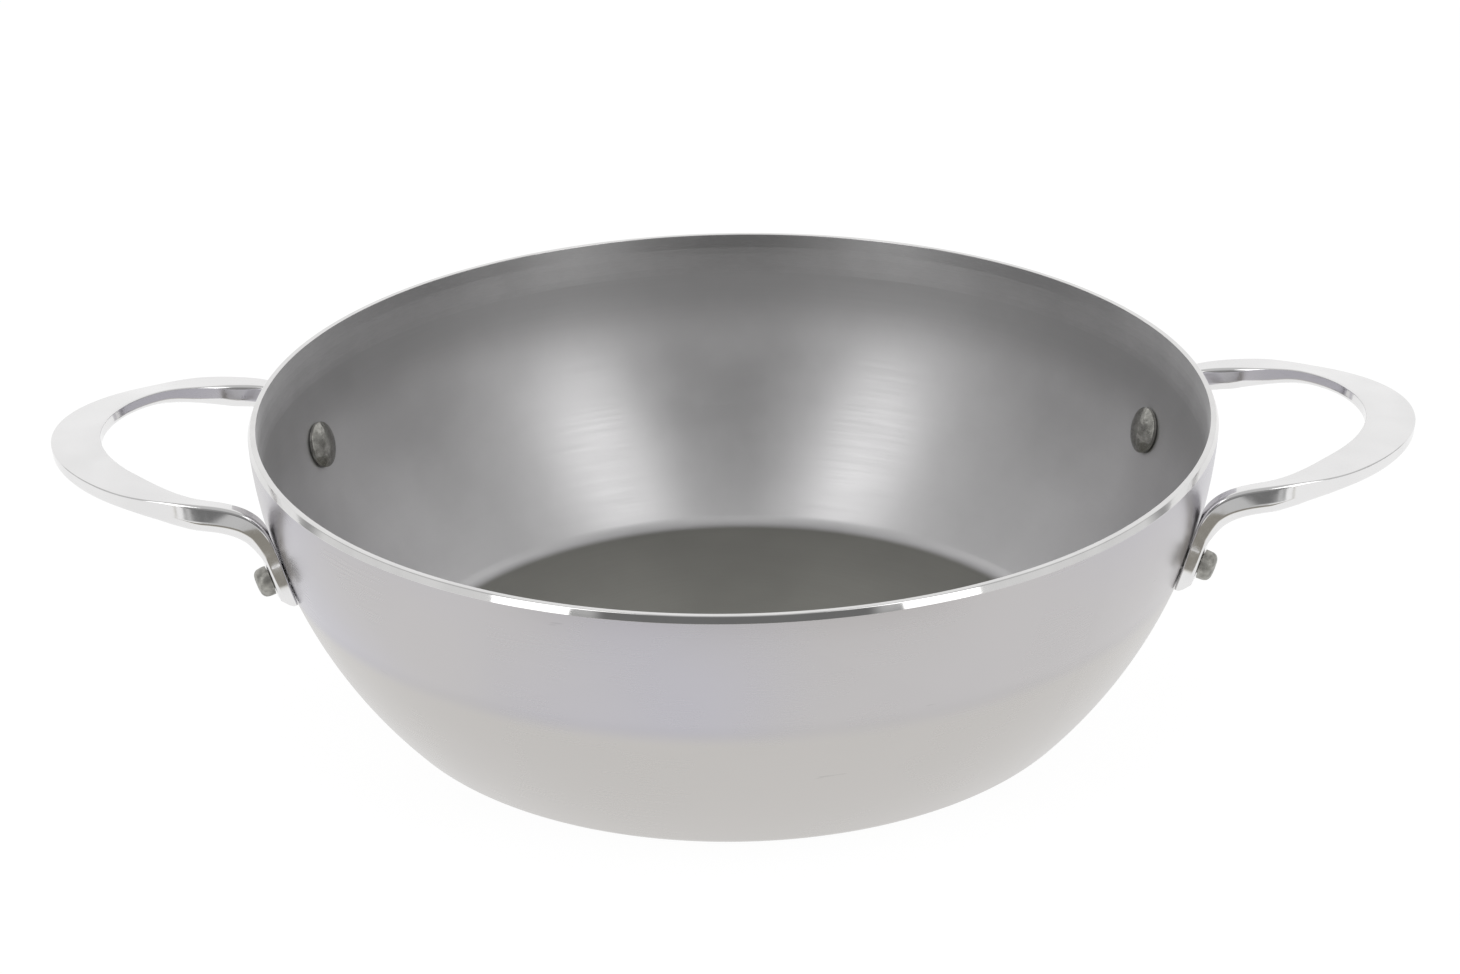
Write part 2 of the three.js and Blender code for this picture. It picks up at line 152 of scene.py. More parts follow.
class HandleSizes(bpy.types.PropertyGroup):
    """Sizes of the cast loop handle."""

    foot_width: length("Foot width", 14, "Tongue that lies on the wall, below the rivet")
    neck_width: length("Neck width", 8.8, "Tongue where it leaves the wall")
    foot_depth: length("Foot depth", 4.5, "Thickness of the tongue")
    pad_margin: length("Pad margin", 0.5, "Flat pad past the rivet's button")
    toe_length: length("Toe length", 4.6, "Tapered end below the pad")
    toe_depth: length("Toe depth", 1.4, "Thickness at the very end")
    toe_round: length("Toe round", 2.2, "Corners of the end, seen from the front")
    neck_length: length("Neck length", 6, "Above the pad, still on the wall")
    bend_reach: length("Bend reach", 21.2, "Outward, from the neck to the leg")
    bend_rise: length("Bend rise", 14.25, "Upward, from the neck to the leg")
    bend_inset: length("Bend inset", 1.7, "Toward the handle's centre plane")
    bend_pull: length("Bend pull", 11.5, "Fullness of the bend on its top")
    bend_under_pull: length("Bend under pull", 9, "Fullness of the bend on its hollow side")
    bend_width: length("Bend width", 6.4, "Band at the middle of the bend")
    leg_width: length("Leg width", 7.2, "Band where it is narrowest")
    leg_outer_depth: length("Leg outer depth", 9.4, "Outer side of the leg")
    leg_inner_depth: length("Leg inner depth", 7.6, "Inner side of the leg")
    leg_tilt: angle("Leg tilt", 8, "The outer edge above the inner one")
    leg_turn: angle("Leg turn", 6, "Toward the handle's centre plane, where the loop starts")
    leg_outer_draft: angle("Leg outer draft", 14.5, "Lean of the leg's outer side, wider below")
    leg_inner_draft: angle("Leg inner draft", 24, "Lean of the leg's inner side, wider below")
    shoulder_length: length("Shoulder length", 31, "Along the loop from the leg")
    shoulder_width: length("Shoulder width", 12.2, "Band at the shoulder")
    shoulder_outer_depth: length("Shoulder outer depth", 6.8, "Outer side of the shoulder")
    shoulder_inner_depth: length("Shoulder inner depth", 4.2, "Inner side of the shoulder")
    shoulder_tilt: angle("Shoulder tilt", -14, "The outer edge below the inner one")
    tip: length("Tip", HANDLE_TIP * 1000 + GRIP_SETBACK, "From the pan's axis to the end of the handle")
    grip_width: length("Grip width", 16.6, "Band at the tip")
    grip_depth: length("Grip depth", 4.8, "Thickness at the tip")
    grip_tilt: angle("Grip tilt", -9.5, "The outer edge below the inner one")
    loop_rise: angle("Loop rise", 5, "Climb of the loop on the way out")
    loop_leg_pull: length("Loop leg pull", 26.5, "Fullness of the loop's shoulder")
    loop_tip_pull: length("Loop tip pull", 25, "Fullness of the loop's tip")
    top_round: length("Top round", 0.6, "Crisp edges of the top")
    foot_round: length("Foot round", 1.1, "Softer edges of the foot")
    bend_round: length("Bend round", 4, "Softer edges at the middle of the bend")
    leg_round: length("Leg round", 3.4, "Softer edges of the leg")
    leg_top_round: length("Leg top round", 1.8, "Edges of the leg's top")
    crisp_length: length("Crisp length", 16, "Along the loop from the leg to the crisp edges")
    grip_round: length("Grip round", 1.5, "Softer edges of the grip")
    toe_edge: length("Toe edge", 0.4, "Broken edge round the very end")


class FinishColours(bpy.types.PropertyGroup):
    """Colours of the metals."""

    inside: colour("Inside", (0.62, 0.615, 0.62), "Satin steel of the inner wall")
    floor: colour("Floor", (0.315, 0.312, 0.285), "Rolled steel of the pan's floor")
    outside_upper: colour("Outside, upper", (0.515, 0.505, 0.55), "Wall above the press line")
    outside_lower: colour("Outside, lower", (0.55, 0.532, 0.515), "Wall below the press line")
    rim: colour("Rim", (0.72, 0.715, 0.71), "Polished edge of the rim")
    handle: colour("Handle", (0.79, 0.785, 0.785), "Polished castings")
    rivet: colour("Rivet", (0.36, 0.355, 0.33), "Dull rivets")


class StudioSettings(bpy.types.PropertyGroup):
    """The camera, the lamps and what the metal mirrors."""

    elevation: angle("Elevation", 24.45, "Of the camera, above the horizon")
    roll: angle("Roll", -1.0, "Of the camera, about its own axis")
    distance: length("Distance", 1298, "From the camera to its target")
    target: FloatVectorProperty(
        name="Target",
        description="Point in the middle of the picture",
        default=(-0.00139, 0, 0.07055),
        subtype="XYZ",
        unit="LENGTH",
    )
    lens: number("Lens", 95.5, "Focal length in millimetres on a sensor 36 mm wide")
    floor_size: length("Floor size", 12000, "Side of the floor")
    softbox_turn: angle("Softbox turn", 44.5, "Of each softbox, from the camera's side")
    softbox_elevation: angle("Softbox elevation", 38, "Of each softbox")
    softbox_distance: length("Softbox distance", 1500, "From the pan")
    softbox_width: length("Softbox width", 480, "Width of each softbox")
    softbox_height: length("Softbox height", 1400, "Height of each softbox")
    softbox_brightness: number("Softbox brightness", 1.6, "As the metal mirrors it, 1 is white")
    shade: share("Shade", 0.29, "Brightness of the dim side of the studio, behind the camera")
    shade_width: angle("Shade width", 30, "Half the width of the dim side, above the softboxes' feet")
    dark: share("Dark", 0.19, "Brightness of the darkest strip behind the camera")
    dark_width: angle("Dark width", 31, "Half the width of the darkest strip")
    dark_low: angle("Dark low", 15, "Lower edge of the darkest strip")
    dark_high: angle("Dark high", 28, "Upper edge of the darkest strip")
    low_top: angle("Low top", 17, "Height of the studio's low part, below the softboxes")
    low_shade: share("Low shade", 0.24, "Brightness of the low part at the sides")
    low_front: share("Low front", 0.6, "Brightness of the low part in front")
    rail: share("Rail", 0.85, "Brightness of the strip that falls from each softbox to the side")
    rail_fall: number("Rail fall", 0.295, "How fast that strip comes down, as sine over cosine")
    rail_level: number("Rail level", 0.105, "Height of that strip at the side, as a sine")
    rail_start: angle("Rail start", 50, "From the front to the high end of that strip")
    rail_end: angle("Rail end", 108, "From the front to the low end of that strip")
    skirting_top: angle("Skirting top", 8, "Height of the white strip at the foot of the softboxes")
    skirting_start: angle("Skirting start", 14, "From the front to the white strip")
    skirting_end: angle("Skirting end", 75, "From the front to the far end of the white strip")
    ceiling: share("Ceiling", 0.6, "Brightness of the ceiling")
    side: share("Side", 0.58, "Brightness of the sides of the studio")
    table_reach: length("Table reach", 300, "From the pan's axis to the front edge of the white table")
    table_turn: angle("Table turn", 40, "Half the width of the gap in the table, in front")
    room_tint: colour("Room tint", (1.0, 0.95, 0.84), "Colour of what lies past the table")
    floor_shadow: share("Floor shadow", 0.14, "How much of the pan's shadow the floor shows")


# Shapes


def mix(first, second, t):
    """The value at a share of the way from the first to the second."""
    return first + (second - first) * t


def ease(t):
    """A share of the way with a soft start and end."""
    return t * t * (3 - 2 * t)


def arc(centre, radius, start, end, steps):
    """Points on an arc from one angle to another, both ends included."""
    turns = [mix(start, end, i / steps) for i in range(steps + 1)]
    return [centre + radius * Vector((math.cos(turn), math.sin(turn))) for turn in turns]


def soft_corner(before, here, after, radius, steps):
    """Points on the round of one corner; two rounds share a side that is too short for both."""
    back = before - here
    on = after - here
    half = back.angle(on) / 2
    reach = min(radius / math.tan(half), SIDE_SHARE * back.length, SIDE_SHARE * on.length)
    radius = reach * math.tan(half)
    centre = here + (back.normalized() + on.normalized()).normalized() * (radius / math.sin(half))
    start = here + back.normalized() * reach - centre
    end = here + on.normalized() * reach - centre
    first = math.atan2(start.y, start.x)
    sweep = (math.atan2(end.y, end.x) - first + math.pi) % math.tau - math.pi
    return arc(centre, radius, first, first + sweep, steps)


def through(places, values):
    """A smooth reading of values given at rising places, flat at both ends and with no overshoot."""
    spans = [q - p for p, q in zip(places, places[1:])]
    rises = [(b - a) / span for a, b, span in zip(values, values[1:], spans)]
    slopes = []
    for before, after in zip([0.0, *rises], [*rises, 0.0]):
        slopes.append(2 * before * after / (before + after) if before * after > 0 else 0.0)

    def read(place):
        i = 0
        while i + 2 < len(places) and place > places[i + 1]:
            i += 1
        t = min(max((place - places[i]) / spans[i], 0.0), 1.0)
        s = 1 - t
        ends = values[i] * s * s * (1 + 2 * t) + values[i + 1] * t * t * (1 + 2 * s)
        return ends + spans[i] * s * t * (slopes[i] * s - slopes[i + 1] * t)

    return read


class Sweep:
    """A cubic curve that is read by the share of its length."""

    STEPS = 400

    def __init__(self, *knots):
        self.knots = knots
        points = [self.point(i / self.STEPS) for i in range(self.STEPS + 1)]
        self.lengths = [0.0]
        for first, second in zip(points, points[1:]):
            self.lengths.append(self.lengths[-1] + (second - first).length)
        self.length = self.lengths[-1]

    def point(self, t):
        """The point at the curve's own parameter."""
        a, b, c, d = self.knots
        s = 1 - t
        return a * s**3 + b * (3 * s * s * t) + c * (3 * s * t * t) + d * t**3

    def time(self, part):
        """The curve's own parameter at a share of its length."""
        goal = min(max(part, 0.0), 1.0) * self.length
        i = 0
        while i + 2 < len(self.lengths) and goal > self.lengths[i + 1]:
            i += 1
        step = self.lengths[i + 1] - self.lengths[i]
        return (i + (goal - self.lengths[i]) / step) / self.STEPS

    def at(self, part):
        """The point at a share of the length."""
        return self.point(self.time(part))

    def way(self, part):
        """The direction of the curve at a share of its length."""
        a, b, c, d = self.knots
        t = self.time(part)
        s = 1 - t
        return ((b - a) * (s * s) + (c - b) * (2 * s * t) + (d - c) * (t * t)).normalized()


class Wall:
    """The outside of the bowl in section: an arc from the rim to the arc of the corner."""

    def __init__(self, bowl):
        lean = bowl.rim_lean
        across = bowl.rim_radius - bowl.base_radius
        up = bowl.height - bowl.corner_radius
        slack = across * math.cos(lean) - up * math.sin(lean) - bowl.corner_radius
        self.radius = (across**2 + up**2 - bowl.corner_radius**2) / (2 * slack)
        rim = Vector((bowl.rim_radius, bowl.height))
        self.centre = rim - self.radius * Vector((math.cos(lean), -math.sin(lean)))
        self.corner = Vector((bowl.base_radius, bowl.corner_radius))
        run = self.corner - self.centre
        self.meet = math.atan2(run.y, run.x)

    def angle_at(self, height, outside=0.0):
        """Where on the arc a height lies."""
        return math.asin((height - self.centre.y) / (self.radius + outside))

    def point_at(self, height, outside=0.0):
        """The radius and height of the arc at a height."""
        turn = self.angle_at(height, outside)
        return self.centre + (self.radius + outside) * Vector((math.cos(turn), math.sin(turn)))

    def place(self, on_arc, outside, turn):
        """The point, the outward normal, and the directions up and along the wall."""
        out = Vector((math.cos(turn), math.sin(turn), 0))
        up = Vector((0, 0, 1))
        reach = self.radius + outside
        height = self.centre.y + reach * math.sin(on_arc)
        point = out * (self.centre.x + reach * math.cos(on_arc)) + up * height
        normal = out * math.cos(on_arc) + up * math.sin(on_arc)
        upward = up * math.cos(on_arc) - out * math.sin(on_arc)
        along = Vector((-math.sin(turn), math.cos(turn), 0))
        return point, normal, upward, along

    def clear(self, point, clearance):
        """Moves a point that lies too near the wall out to the clearance."""
        radius = math.hypot(point.x, point.y)
        place = Vector((radius, point.z)) - self.centre
        if place.length >= self.radius + clearance:
            return point
        place = place.normalized() * (self.radius + clearance) + self.centre
        grow = place.x / radius
        return Vector((point.x * grow, point.y * grow, place.y))


def make_piece(name, vertices, faces):
    """A smooth mesh object whose faces point out."""
    mesh = bpy.data.meshes.new(name)
    mesh.from_pydata(vertices, [], faces)
    piece = bpy.data.objects.new(name, mesh)
    bpy.context.scene.collection.objects.link(piece)
    shell = bmesh.new()
    shell.from_mesh(mesh)
    bmesh.ops.recalc_face_normals(shell, faces=shell.faces)
    shell.to_mesh(mesh)
    shell.free()
    mesh.shade_smooth()
    return piece


def revolve(name, outline, segments):
    """Turns an outline of radius and height about Z; it starts and ends on the axis."""
    spokes = [math.tau * j / segments for j in range(segments)]
    ways = [Vector((math.cos(spoke), math.sin(spoke), 0)) for spoke in spokes]
    inner = outline[1:-1]
    vertices = [(0, 0, outline[0].y)]
    for point in inner:
        vertices += [way * point.x + Vector((0, 0, point.y)) for way in ways]
    vertices.append((0, 0, outline[-1].y))
    last = len(vertices) - 1
    faces = []
    for j in range(segments):
        k = (j + 1) % segments
        faces.append((0, 1 + k, 1 + j))
        for i in range(len(inner) - 1):
            low = 1 + i * segments
            high = low + segments
            faces.append((low + j, low + k, high + k, high + j))
        top = 1 + (len(inner) - 1) * segments
        faces.append((top + j, top + k, last))
    return make_piece(name, vertices, faces)


def loft(name, rings):
    """Skins a row of rings of equal count and closes both ends."""
    size = len(rings[0])
    faces = [tuple(range(size))]
    for i in range(len(rings) - 1):
        for j in range(size):
            k = (j + 1) % size
            low = i * size
            faces.append((low + j, low + k, low + size + k, low + size + j))
    faces.append(tuple((len(rings) - 1) * size + j for j in range(size)))
    return make_piece(name, [point for ring in rings for point in ring], faces)


def cut(piece, cutters):
    """Takes the cutters out of a piece and deletes them."""
    for cutter in cutters:
        bore = piece.modifiers.new("bore", "BOOLEAN")
        bore.operation = "DIFFERENCE"
        bore.solver = "EXACT"
        bore.object = cutter
    depsgraph = bpy.context.evaluated_depsgraph_get()
    whole = piece.data
    piece.data = bpy.data.meshes.new_from_object(piece.evaluated_get(depsgraph))
    piece.modifiers.clear()
    bpy.data.meshes.remove(whole)
    for cutter in cutters:
        bpy.data.objects.remove(cutter)


def even_shading(piece):
    """Lets broad faces set the normals, so that narrow rounds don't bend their shading."""
    piece.modifiers.new("even_shading", "WEIGHTED_NORMAL").keep_sharp = True


def rivet_place(wall, bowl, rivets, turn):
    """Stands a shape on the wall at a rivet, with +Z along the wall's outward normal."""
    on_arc = wall.angle_at(bowl.height - rivets.drop)
    point, normal, upward, along = wall.place(on_arc, 0, turn)
    seat = Matrix((along, upward, normal)).transposed().to_4x4()
    seat.translation = point
    return seat


def rivet_turns(rivets):
    """The turns of one handle's rivets about the pan's axis, from its centre plane."""
    return (-rivets.angle, rivets.angle)


def make_bores(pan, turns):
    """Rods that clear the shanks and pass through the wall and the feet."""
    wall = Wall(pan.bowl)
    radius = pan.rivets.shank / 2 + pan.rivets.clearance
    reach = 2 * (pan.bowl.sheet + pan.handle.foot_depth + pan.rivets.clearance)
    outline = [Vector((x, y)) for x, y in ((0, -reach), (radius, -reach), (radius, reach), (0, reach))]
    rods = []
    for turn in turns:
        rod = revolve("bore", outline, pan.rivets.segments)
        rod.data.transform(rivet_place(wall, pan.bowl, pan.rivets, turn))
        rods.append(rod)
    return rods


def bowl_outline(bowl):
    """The outside, the rim and the inside of the bowl, each as a row of points."""
    wall = Wall(bowl)
    down = -math.pi / 2
    corner_steps = 14
    wall_steps = 44
    round_steps = 4
    ring_shares = (0.3, 0.6, 0.85)
    inside = wall.radius - bowl.sheet

    foot = wall.point_at(bowl.height - 2 * bowl.bevel_height)
    shoulder = wall.point_at(bowl.height - bowl.bevel_height)
    outer_edge = wall.point_at(bowl.height)
    inner_edge = wall.point_at(bowl.height, -bowl.sheet)
    ledge = Vector((outer_edge.x - bowl.bevel_width, bowl.height))
    inner_foot = wall.point_at(bowl.height - 2 * bowl.bevel_height, -bowl.sheet)
    corners = [foot, shoulder, ledge, inner_edge, inner_foot]
    rounds = [bowl.edge_round, bowl.ledge_round, bowl.edge_round]
    rim = []
    for before, here, after, radius in zip(corners, corners[1:], corners[2:], rounds):
        rim += soft_corner(before, here, after, radius, round_steps)

    outer = [Vector((0, 0))]
    outer += [Vector((bowl.base_radius * part, 0)) for part in ring_shares]
    outer += arc(wall.corner, bowl.corner_radius, down, wall.meet, corner_steps)
    outer_top = wall.angle_at(rim[0].y)
    outer += arc(wall.centre, wall.radius, wall.meet, outer_top, wall_steps)[1:-1]

    inner_top = wall.angle_at(rim[-1].y, -bowl.sheet)
    inner = arc(wall.centre, inside, inner_top, wall.meet, wall_steps)[1:]
    inner += arc(wall.corner, bowl.corner_radius - bowl.sheet, wall.meet, down, corner_steps)[1:]
    inner += [Vector((bowl.base_radius * part, bowl.sheet)) for part in reversed(ring_shares)]
    inner.append(Vector((0, bowl.sheet)))
    return outer, rim, inner


def crown(radius, height, fullness, steps):
    """A quarter of a button's outline, from its edge to its crown."""
    power = 2 / fullness
    points = []
    for i in range(steps):
        turn = math.pi / 2 * i / steps
        points.append(Vector((radius * math.cos(turn) ** power, height * math.sin(turn) ** power)))
    points.append(Vector((0, height)))
    return points


def cap(radius, height, side, edge_round, steps):
    """Half of a low domed head's outline: an upright side, a round edge and a shallow dome."""
    edge_steps = 5
    dome = []
    for i in range(1, steps):
        across = 1 - i / steps
        dome.append(Vector((radius * across, side + (height - side) * (1 - across**2))))
    foot = Vector((radius, 0))
    edge = soft_corner(foot, Vector((radius, side)), dome[1], edge_round, edge_steps)
    return [foot, *edge, *dome[1:], Vector((0, height))]


def rivet_outline(pan):
    """One rivet along +Z with the outside of the wall at zero."""
    rivets = pan.rivets
    head_steps = 20
    hollow_radius = min(Wall(pan.bowl).radius, pan.bowl.rim_radius - pan.bowl.sheet)
    inner_seat = -pan.bowl.sheet - rivets.clearance
    outer_seat = rivets.clearance + pan.handle.foot_depth + rivets.clearance
    shank = rivets.shank / 2
    inner_head = rivets.inner_head / 2
    inner = cap(inner_head, rivets.inner_height, rivets.inner_side, rivets.inner_round, head_steps)
    outer = crown(rivets.outer_head / 2, rivets.outer_height, rivets.outer_fullness, head_steps)
    inner_rim = inner_seat - inner_head**2 / (2 * hollow_radius)
    outline = [Vector((point.x, inner_rim - point.y)) for point in reversed(inner)]
    outline.append(Vector((shank, inner_seat - shank**2 / (2 * hollow_radius))))
    outline.append(Vector((shank, outer_seat)))
    outline += [Vector((point.x, outer_seat + point.y)) for point in outer]
    return outline


def band_section(width, depths, drafts, top_round, low_round):
    """The band's section, as places across and into the metal: crisp top edges, soft ones below."""
    crisp_steps = 6
    soft_steps = 8
    half = width / 2
    outer, inner = depths
    outer_lean, inner_lean = (depth * math.tan(draft) for depth, draft in zip(depths, drafts))
    corners = [
        Vector((half, 0)),
        Vector((-half, 0)),
        Vector((-half - inner_lean, inner)),
        Vector((half + outer_lean, outer)),
    ]
    rounds = [(top_round, crisp_steps)] * 2 + [(low_round, soft_steps)] * 2
    outline = []
    for i, (radius, steps) in enumerate(rounds):
        outline += soft_corner(corners[i - 1], corners[i], corners[(i + 1) % len(corners)], radius, steps)
    return outline


class HalfHandle:
    """One half of the handle, as rings from the toe of the foot to the tip of the loop.

    Places are lengths along the top face from the rivet.
    """

    TOE_STEPS = 10
    PAD_STEPS = 6
    BEND_STEPS = 44
    LOOP_STEPS = 56

    def __init__(self, pan):
        self.pan = pan
        self.size = pan.handle
        self.wall = Wall(pan.bowl)
        self.clearance = pan.rivets.clearance
        self.pad = pan.rivets.outer_head / 2 + self.size.pad_margin
        self.toe = -self.pad - self.size.toe_length
        self.neck = self.pad + self.size.neck_length
        self.rings = []
        self.lay_out()
        self.add_foot()
        self.add_bend()
        self.add_loop()

    def foot_at(self, place):
        """The wall under the foot, as Wall.place gives it."""
        start = self.wall.angle_at(self.pan.bowl.height - self.pan.rivets.drop)
        on_arc = start + place / (self.wall.radius + self.clearance)
        return self.wall.place(on_arc, self.clearance, self.pan.rivets.angle)

    def rolled(self, way, roll):
        """The direction across the band, tilted about the way that it runs."""
        flat = self.loop_up.cross(way).normalized()
        return flat * math.cos(roll) + self.loop_up * math.sin(roll)

    def lay_out(self):
        """Sets the curves that the band follows and the sizes that it passes through."""
        size = self.size
        climb = size.loop_rise
        ahead = Vector((math.cos(climb), 0, math.sin(climb)))
        self.loop_up = Vector((-math.sin(climb), 0, math.cos(climb)))
        leg_way = ahead * math.cos(size.leg_turn) - Vector((0, math.sin(size.leg_turn), 0))

        top, _, top_up, _ = self.foot_at(self.neck)
        leg = top + Vector((size.bend_reach, -size.bend_inset, size.bend_rise))
        self.leg_across = self.rolled(leg_way, size.leg_tilt)
        pull = size.bend_pull
        self.bend = Sweep(top, top + top_up * pull, leg - leg_way * pull, leg)

        pad, pad_normal, pad_up, self.pad_along = self.foot_at(self.pad)
        pad_face = pad + pad_normal * size.foot_depth
        leg_depth = (size.leg_outer_depth + size.leg_inner_depth) / 2
        leg_under = leg + self.leg_across.cross(leg_way) * leg_depth
        pull = size.bend_under_pull
        before_leg = leg_under - leg_way * pull
        self.bend_under = Sweep(pad_face, pad_face + pad_up * pull, before_leg, leg_under)

        reach = size.tip - size.grip_width / 2 * math.cos(climb + size.grip_tilt)
        tip = Vector((reach, 0, leg.z + (reach - leg.x) * math.tan(climb)))
        tip_side = tip + Vector((0, size.loop_tip_pull, 0))
        self.loop = Sweep(leg, leg + leg_way * size.loop_leg_pull, tip_side, tip)

        self.leg = self.neck + self.bend.length
        self.end = self.leg + self.loop.length
        middle = (self.neck + self.leg) / 2
        crisp = self.leg + size.crisp_length
        on_loop = [self.leg, self.leg + size.shoulder_length, self.end]
        foot_widths = [size.foot_width, size.neck_width, size.bend_width]
        loop_widths = [size.leg_width, size.shoulder_width, size.grip_width]
        self.width = through([-self.pad, self.neck, middle, *on_loop], foot_widths + loop_widths)
        self.foot_depth = through(
            [self.toe, -self.pad, self.pad], [size.toe_depth, size.foot_depth, size.foot_depth]
        )
        self.outer_depth = through(
            on_loop, [size.leg_outer_depth, size.shoulder_outer_depth, size.grip_depth]
        )
        self.inner_depth = through(
            on_loop, [size.leg_inner_depth, size.shoulder_inner_depth, size.grip_depth]
        )
        self.tilt = through(on_loop, [size.leg_tilt, size.shoulder_tilt, size.grip_tilt])
        self.low_round = through(
            [self.pad, middle, self.leg, self.end],
            [size.foot_round, size.bend_round, size.leg_round, size.grip_round],
        )
        self.top_round = through(
            [self.pad, middle, self.leg, crisp],
            [size.top_round, size.leg_top_round, size.leg_top_round, size.top_round],
        )
        drafted = [self.pad, self.leg, crisp]
        self.outer_draft = through(drafted, [0, size.leg_outer_draft, 0])
        self.inner_draft = through(drafted, [0, size.leg_inner_draft, 0])

    def add(self, place, point, across, into, outer, inner, trim=0.0, inset=0.0):
        """Adds one ring: trim narrows it and inset shrinks it on every side."""
        width = self.width(place) - trim - 2 * inset
        outer -= 2 * inset
        inner -= 2 * inset
        rounds = (self.top_round(place), self.low_round(place))
        drafts = (self.outer_draft(place), self.inner_draft(place))
        section = band_section(width, (outer, inner), drafts, *rounds)
        ring = []
        for corner in section:
            spot = point + across * corner.x + into * (corner.y + inset)
            ring.append(self.wall.clear(spot, self.clearance))
        self.rings.append(ring)

    def add_foot(self):
        """The tongue on the wall, from the toe to the top of the pad."""
        size = self.size
        stops = [(self.toe, 2 * size.toe_round, size.toe_edge)]
        for i in range(self.TOE_STEPS + 1):
            turn = math.pi / 2 * i / self.TOE_STEPS
            along = size.toe_round - (size.toe_round - size.toe_edge) * math.cos(turn)
            trim = 2 * size.toe_round * (1 - math.sin(turn))
            stops.append((self.toe + along, trim, 0.0))
        for i in range(self.PAD_STEPS):
            stops.append((mix(-self.pad, self.pad, i / self.PAD_STEPS), 0.0, 0.0))
        for place, trim, inset in stops:
            point, normal, _, along = self.foot_at(place)
            depth = self.foot_depth(place)
            self.add(place, point, along, normal, depth, depth, trim, inset)

    def add_bend(self):
        """The neck and the bend, from the top of the pad to the leg."""
        wedge = (self.size.leg_outer_depth - self.size.leg_inner_depth) / 2
        for i in range(self.BEND_STEPS + 1):
            t = i / self.BEND_STEPS
            place = mix(self.pad, self.leg, t)
            past = (place - self.neck) / self.bend.length
            point = self.foot_at(place)[0] if past < 0 else self.bend.at(past)
            into = self.bend_under.at(t) - point
            depth = into.length
            into.normalize()
            across = self.pad_along.lerp(self.leg_across, ease(t))
            across = (across - into * across.dot(into)).normalized()
            self.add(place, point, across, into, depth + wedge * ease(t), depth - wedge * ease(t))

    def add_loop(self):
        """The loop, from the leg to the tip."""
        for i in range(1, self.LOOP_STEPS + 1):
            t = i / self.LOOP_STEPS
            place = mix(self.leg, self.end, t)
            way = self.loop.way(t)
            across = self.rolled(way, self.tilt(place))
            outer = self.outer_depth(place)
            self.add(place, self.loop.at(t), across, across.cross(way), outer, self.inner_depth(place))


# Materials


class Nodes:
    """Short calls that build one node tree."""

    def __init__(self, tree):
        self.tree = tree

    def add(self, kind, **settings):
        made = self.tree.nodes.new(kind)
        for key, value in settings.items():
            setattr(made, key, value)
        return made

    def feed(self, socket, value):
        if isinstance(value, bpy.types.NodeSocket):
            self.tree.links.new(value, socket)
        else:
            socket.default_value = value

    def fill(self, made, values):
        """Feeds the inputs of a node, by name or by number."""
        for key, value in values.items():
            self.feed(made.inputs[key], value)

    def math(self, operation, *values):
        made = self.add("ShaderNodeMath", operation=operation)
        self.fill(made, dict(enumerate(values)))
        return made.outputs["Value"]

    def plus(self, first, second):
        return self.math("ADD", first, second)

    def minus(self, first, second):
        return self.math("SUBTRACT", first, second)

    def times(self, first, second):
        return self.math("MULTIPLY", first, second)

    def between(self, value, low, high, out_low=0.0, out_high=1.0):
        """A soft step from one value to another as a value goes from low to high."""
        made = self.add("ShaderNodeMapRange", interpolation_type="SMOOTHSTEP")
        self.fill(made, {"Value": value, "From Min": low, "From Max": high})
        self.fill(made, {"To Min": out_low, "To Max": out_high})
        return made.outputs["Result"]

    def spread(self, cloud, low, high):
        """A value from low to high as a cloud goes from dark to light."""
        return self.between(cloud, *CLOUD_RANGE, low, high)

    def where(self, mask, value):
        """One outside a mask and a value inside it."""
        return self.between(mask, 0.0, 1.0, 1.0, value)

    def blend(self, part, first, second, way="MIX"):
        """A colour between two colours, or another mix of them."""
        made = self.add("ShaderNodeMix", data_type="RGBA", blend_type=way)
        self.fill(made, {0: part, 6: first, 7: second})
        return made.outputs[2]

    def dim(self, tint, part):
        """A colour times a value."""
        return self.blend(1.0, tint, part, "MULTIPLY")

    def layers(self, part, first, second):
        """A shader between two shaders."""
        made = self.add("ShaderNodeMixShader")
        self.fill(made, {0: part, 1: first, 2: second})
        return made.outputs[0]

    def noise(self, vector, scale, detail, dimensions="3D", w=None):
        made = self.add("ShaderNodeTexNoise", noise_dimensions=dimensions)
        self.fill(made, {"Vector": vector, "Scale": scale, "Detail": detail})
        if w is not None:
            self.feed(made.inputs["W"], w)
        return made.outputs["Fac"]

    def place(self):
        """Where a point of the surface is, in metres."""
        return self.add("ShaderNodeTexCoord").outputs["Object"]

    def parts(self, vector):
        made = self.add("ShaderNodeSeparateXYZ")
        self.feed(made.inputs[0], vector)
        return made.outputs

    def off_axis(self, x, y):
        """How far a place lies from the pan's axis."""
        return self.math("SQRT", self.plus(self.times(x, x), self.times(y, y)))

    def ahead(self, x, y):
        """The cosine of a place's turn about the pan's axis, from the camera's side."""
        reach = self.math("MAXIMUM", self.off_axis(x, y), NEAR_AXIS)
        return self.math("DIVIDE", self.times(y, -1.0), reach)

    def within(self, ahead, half_width, soft):
        """One in a sector at the camera's side and zero past its soft edges."""
        return self.between(ahead, math.cos(half_width + soft), math.cos(half_width - soft))

    def group(self, name, **values):
        """The output of a shared effect."""
        made = self.add("ShaderNodeGroup", node_tree=bpy.data.node_groups[name])
        self.fill(made, values)
        return made.outputs[0]

    def bump(self, height, depth):
        made = self.add("ShaderNodeBump")
        self.fill(made, {"Strength": 1.0, "Distance": depth, "Height": height})
        return made.outputs["Normal"]


